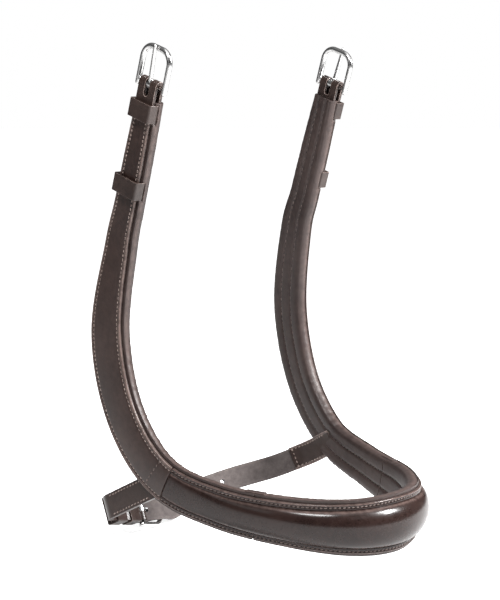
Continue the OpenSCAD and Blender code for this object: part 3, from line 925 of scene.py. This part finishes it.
# %% Leather from CAD shapes
def from_cad(node, name, body, materials, bevel=0.35):
    work = bmesh.new()
    work.from_mesh(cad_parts[node].data)
    bmesh.ops.remove_doubles(work, verts=work.verts, dist=0.00002)
    if bevel:
        bmesh.ops.dissolve_limit(work, angle_limit=math.radians(2),
                                 verts=work.verts, edges=work.edges)
        sharp = [e for e in work.edges
                 if len(e.link_faces) == 2 and e.calc_face_angle() > math.radians(35)]
        bmesh.ops.bevel(work, geom=sharp, offset=bevel * MM, segments=3, profile=0.6,
                        affect="EDGES", clamp_overlap=True, material=1)
    for face in work.faces:
        face.smooth = True
    mesh = bpy.data.meshes.new(name)
    work.to_mesh(mesh)
    # the middle of each bevel is made paler: partly polish, partly painted highlight
    rub_and_highlight = mesh.attributes.new("rub_and_highlight", "FLOAT", "POINT")
    flat = {v.index for f in work.faces if f.material_index == 0 for v in f.verts}
    rub_and_highlight.data.foreach_set("value", [0.0 if v.index in flat else 0.8 for v in work.verts])
    work.free()
    mesh.set_sharp_from_angle(angle=math.radians(40))
    piece = link(name, mesh, *materials)
    if bevel:
        even = piece.modifiers.new("even_normals", "WEIGHTED_NORMAL")
        even.keep_sharp = True
    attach(piece, body)
    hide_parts(node)
    return piece


for side in ("left", "right"):
    from_cad(side + "_buckle_tab", side + "_tab_leather", "noseband",
             (STRAP, EDGE))
    for place_name in ("upper", "lower"):
        from_cad(f"{side}_{place_name}_keeper", f"{side}_{place_name}_loop", "noseband",
                 (STRAP, EDGE), bevel=0.55)
for node, name, body in (("chin_buckle_tab", "chin_tab_leather", "noseband"),
                         ("chin_fixed_keeper", "chin_fixed_loop", "noseband"),
                         ("chin_runner_keeper", "chin_runner_loop", "chin_runner")):
    from_cad(node, name, body, (STRAP, EDGE))
print("tabs and loops bevelled")

# %% [markdown]
# The buckles keep their CAD shape: it is round wire bent to a bow, and its
# joints turn on the bar. Only the shading needs help, so each copy is merged
# and shaded smooth.

# %% Buckles
BUCKLES = (("left_buckle_frame", "left_frame"), ("left_buckle_tongue", "left_tongue"),
           ("right_buckle_frame", "right_frame"), ("right_buckle_tongue", "right_tongue"),
           ("chin_buckle_frame", "noseband"), ("chin_buckle_tongue", "chin_tongue"))
for node, body in BUCKLES:
    from_cad(node, node.replace("buckle", "steel"), body, (STEEL,), bevel=0)
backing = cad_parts["backing_strap"]
for slot_of in backing.material_slots:
    slot_of.material = EDGE
print("buckles polished")

# %% [markdown]
# ## Stitching
#
# Some eleven hundred stitches hold the layers together. Each is a short fat
# lens of thread lying in its groove, slightly slanted. At each end sits a flat
# near-black lens: painted shade where the needle hole is. They repeat along a
# line, which is just what Geometry Nodes are for: a guide line comes in, it is
# divided at the pitch, and a thread is put on every point and turned to the
# line and to the leather's own direction.

# %% Stitch tree
def stitch_tree():
    tree = bpy.data.node_groups.new("stitch_row", "GeometryNodeTree")
    ports = tree.interface
    ports.new_socket("Guide", in_out="INPUT", socket_type="NodeSocketGeometry")
    for name in ("Pitch", "Length", "Width", "Height", "Shift", "Slant"):
        ports.new_socket(name, in_out="INPUT", socket_type="NodeSocketFloat")
    ports.new_socket("Thread", in_out="INPUT", socket_type="NodeSocketMaterial")
    ports.new_socket("Stitches", in_out="OUTPUT", socket_type="NodeSocketGeometry")
    given = tree.nodes.new("NodeGroupInput").outputs
    line = add(tree, "GeometryNodeMeshToCurve", {"Mesh": given["Guide"]})
    spaced = add(tree, "GeometryNodeResampleCurve",
                 {"Curve": line.outputs["Curve"], "Length": given["Pitch"]},
                 mode="LENGTH")
    along = tree.nodes.new("GeometryNodeInputTangent").outputs["Tangent"]
    up = add(tree, "GeometryNodeInputNamedAttribute", {"Name": "up"},
             data_type="FLOAT_VECTOR").outputs["Attribute"]
    shift = add(tree, "ShaderNodeVectorMath", {0: along}, operation="SCALE")
    tree.links.new(given["Shift"], shift.inputs["Scale"])
    stand = add(tree, "FunctionNodeAlignRotationToVector", {"Vector": up}, axis="Z")
    lie = add(tree, "FunctionNodeAlignRotationToVector",
              {"Rotation": stand.outputs[0], "Vector": along}, axis="X", pivot_axis="Z")
    angle = add(tree, "ShaderNodeCombineXYZ", {"Z": given["Slant"]})
    slant = add(tree, "FunctionNodeEulerToRotation", {"Euler": angle.outputs[0]})
    turned = add(tree, "FunctionNodeRotateRotation",
                 {"Rotation": lie.outputs[0], "Rotate By": slant.outputs[0]},
                 rotation_space="LOCAL")
    size = add(tree, "ShaderNodeCombineXYZ", {
        "X": given["Length"], "Y": given["Width"], "Z": given["Height"]})
    lens = add(tree, "GeometryNodeMeshUVSphere",
               {"Segments": 8, "Rings": 5, "Radius": 0.5})
    smooth = add(tree, "GeometryNodeSetShadeSmooth", {"Geometry": lens.outputs["Mesh"]})
    threads = add(tree, "GeometryNodeInstanceOnPoints", {
        "Points": spaced.outputs["Curve"], "Instance": smooth.outputs[0],
        "Rotation": turned.outputs[0], "Scale": size.outputs[0]})
    moved = add(tree, "GeometryNodeTranslateInstances", {
        "Instances": threads.outputs[0], "Translation": shift.outputs[0]})
    moved.inputs["Local Space"].default_value = False
    real = add(tree, "GeometryNodeRealizeInstances", {"Geometry": moved.outputs[0]})
    done = add(tree, "GeometryNodeSetMaterial",
               {"Geometry": real.outputs[0], "Material": given["Thread"]})
    out = tree.nodes.new("NodeGroupOutput")
    tree.links.new(done.outputs[0], out.inputs["Stitches"])
    return tree


STITCH_TREE = stitch_tree()
STITCH_PITCH = 0.0028
print("stitch tree:", len(STITCH_TREE.nodes), "nodes")


# %% Stitch rows
def stitch_row_guides(rows):
    """rows of (points, ups) in mm as loose lines with an up attribute"""
    points, edges, ups = [], [], []
    for line, up in rows:
        start = len(points)
        points += (np.asarray(line) * MM).tolist()
        ups += np.asarray(up).tolist()
        edges += [(start + i, start + i + 1) for i in range(len(line) - 1)]
    mesh = bpy.data.meshes.new("guides")
    mesh.from_pydata(points, edges, [])
    mesh.attributes.new("up", "FLOAT_VECTOR", "POINT").data.foreach_set(
        "vector", np.array(ups, np.float32).ravel())
    return mesh


def sew(name, rows, slot_name, material=THREAD, **sizes):
    """runs the stitch tree over the rows and keeps the plain mesh"""
    piece = link(name, stitch_row_guides(rows))
    tree = piece.modifiers.new("stitches", "NODES")
    tree.node_group = STITCH_TREE
    values = dict(Pitch=STITCH_PITCH, Length=0.002, Width=0.0009, Height=0.0008,
                  Shift=0.0, Slant=0.16, Thread=material)
    values.update(sizes)
    for item in STITCH_TREE.interface.items_tree:
        if item.in_out == "INPUT" and item.name in values:
            tree[item.identifier] = values[item.name]
    seen = piece.evaluated_get(bpy.context.evaluated_depsgraph_get())
    mesh = bpy.data.meshes.new_from_object(seen)
    guides = piece.data
    piece.modifiers.clear()
    piece.data = mesh
    bpy.data.meshes.remove(guides)
    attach(piece, "noseband")
    return piece


def sewn(name, rows, slot_name, **sizes):
    """thread, and near-black lenses between the stitches: painted shade in the needle
    holes
    """
    threads = sew(name + "_thread", rows, slot_name, **sizes)
    sew(name + "_holes", rows, slot_name, material=NEEDLE_HOLE_SHADE, Length=0.0009,
        Width=0.0009, Height=0.0004, Shift=sizes.get("Pitch", STITCH_PITCH) / 2,
        Slant=0.0)
    return threads


def band_row(start, end, inset, lift, side, mirror, deep=None):
    """one row along the band, inset from its edge, on its face or its back"""
    us = evenly(band, start, end, 1.3)
    point, across, out, half, _ = band(us)
    if deep is None:
        x = side * (half - inset)
    else:
        x, out, lift = side * (half + ROLL_OUT) * CHANNEL_AT, -out, deep + lift
    line = point + across * x[:, None] + out * lift
    up = out.copy()
    if mirror:
        line, up = line * [-1, 1, 1], up * [-1, 1, 1]
    return line, up


cheek_rows = [band_row(0.4, SEAM - 0.04, STITCH_IN, -0.22, side, mirror)
              for side in (-1, 1) for mirror in (False, True)]
sewn("cheek", cheek_rows, "face_leather")
nose_rows = [band_row(SEAM + 0.03, LAST - SEAM - 0.03, 1.8, -0.2, side, False)
             for side in (-1, 1)]
sewn("nose", nose_rows, "nose_leather", material=DARK_THREAD)
pad_rows = [band_row(0.3, 9.98, 0, -1.05, side, mirror, deep=DEEP_ALL)
            for side in (-1, 1) for mirror in (False, True)]
sewn("pad", pad_rows, "lining_leather", material=DARK_THREAD,
     Pitch=0.0036, Length=0.0028)
print("rows sewn:", len(cheek_rows) + len(nose_rows) + len(pad_rows))


# %% [markdown]
# ### Stitching across and on the chin strap
#
# A few short rows: across each cheek just before its leather meets the nose
# cover, along both edges of the chin tab, and round the square end of the
# stiffener on the other side.

# %% Short rows
CROSS_POINTS, END_POINTS = 15, 9
STIFFENER_ROW = STRAP_END - 3.25
ON_STIFFENER = CHIN_T / 2 + 1.92


def cross_row(u, reach, mirror):
    point, across, out, half, crown = band(np.full(CROSS_POINTS, u))
    x = np.linspace(-1, 1, CROSS_POINTS) * (half - reach)
    z = swell(x, half, crown)
    line = point + across * x[:, None] + out * (z + 0.12)[:, None]
    flip = np.array([-1, 1, 1]) if mirror else 1
    return line * flip, out * flip


def tab_row(z):
    lean_in = math.radians(10.5)
    step = np.linspace(9.0, 40.0, 12)
    lift = TAB_T / 2 + 0.05
    x = -math.sin(lean_in) * step - math.cos(lean_in) * lift
    y = -math.cos(lean_in) * step + math.sin(lean_in) * lift
    line = np.array([chin_point(a, b, z) for a, b in zip(x, y)])
    up = CHIN_TURN @ np.array([-math.cos(lean_in), math.sin(lean_in), 0])
    return line, np.tile(up, (len(line), 1))


def on_stiffener(us, x):
    point, across, out, _, _ = chin_path(us)
    return point + across * x - out * ON_STIFFENER, -out


def stiffener_row(x):
    return on_stiffener(evenly(chin_path, STIFFENER_ROW, STRAP_END - 0.6, 2.0), x)


def stiffener_end_row():
    return on_stiffener(np.full(END_POINTS, STIFFENER_ROW),
                        np.linspace(-6.0, 6.0, END_POINTS)[:, None])


seam_rows = [cross_row(SEAM - 0.26, 3.0, mirror) for mirror in (False, True)]
sewn("seam", seam_rows, "face_leather", material=DARK_THREAD)
chin_rows = [tab_row(-6.2), tab_row(6.2), stiffener_row(-6.4), stiffener_row(6.4),
             stiffener_end_row()]
sewn("chin", chin_rows, "strap_leather")
print("short rows:", len(seam_rows) + len(chin_rows))

# %% [markdown]
# ## A blank patch on the lining
#
# Where the cheek lining meets the nose lining, a small blank patch of thin
# leather covers the join on the upper roll. It bends with the roll, so it is a
# very short section carried along the same path.

# %% Patches
PATCH_LONG = 14.0


def patch_section(u, half, crown):
    outline, _ = lining_outline(half)
    count = 7
    start = 4
    surface = outline[:, start:start + count]
    centre = np.array([0, -(DEEP_BACK + DEEP_ALL) / 2])
    away = unit(surface - centre)
    outer = surface + away * 0.75
    inner = surface - away * 0.5
    shape = np.concatenate([outer, inner[:, ::-1]], 1)
    tone = np.zeros((len(u), 2 * count, 1))
    # the patch's two edges are made paler: partly polish, partly painted highlight
    tone[:, (0, count - 1)] = 0.9
    return np.concatenate([shape, tone], -1)


def make_patches():
    mm_per_u = run_length(band, 7.3, 7.7) / 0.4
    length = PATCH_LONG / mm_per_u
    us = evenly(band, LINING_END - length / 2, LINING_END + length / 2, 1.0)
    rings, rub_and_highlight = carry(band, us, patch_section, 0.4)
    pieces = both_sides("join_patch", rings, rub_and_highlight, [0] * rings.shape[1], (LINING,))
    for piece in pieces:
        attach(piece, "noseband")
    return pieces


patches = make_patches()
print("patches:", [p.name for p in patches])
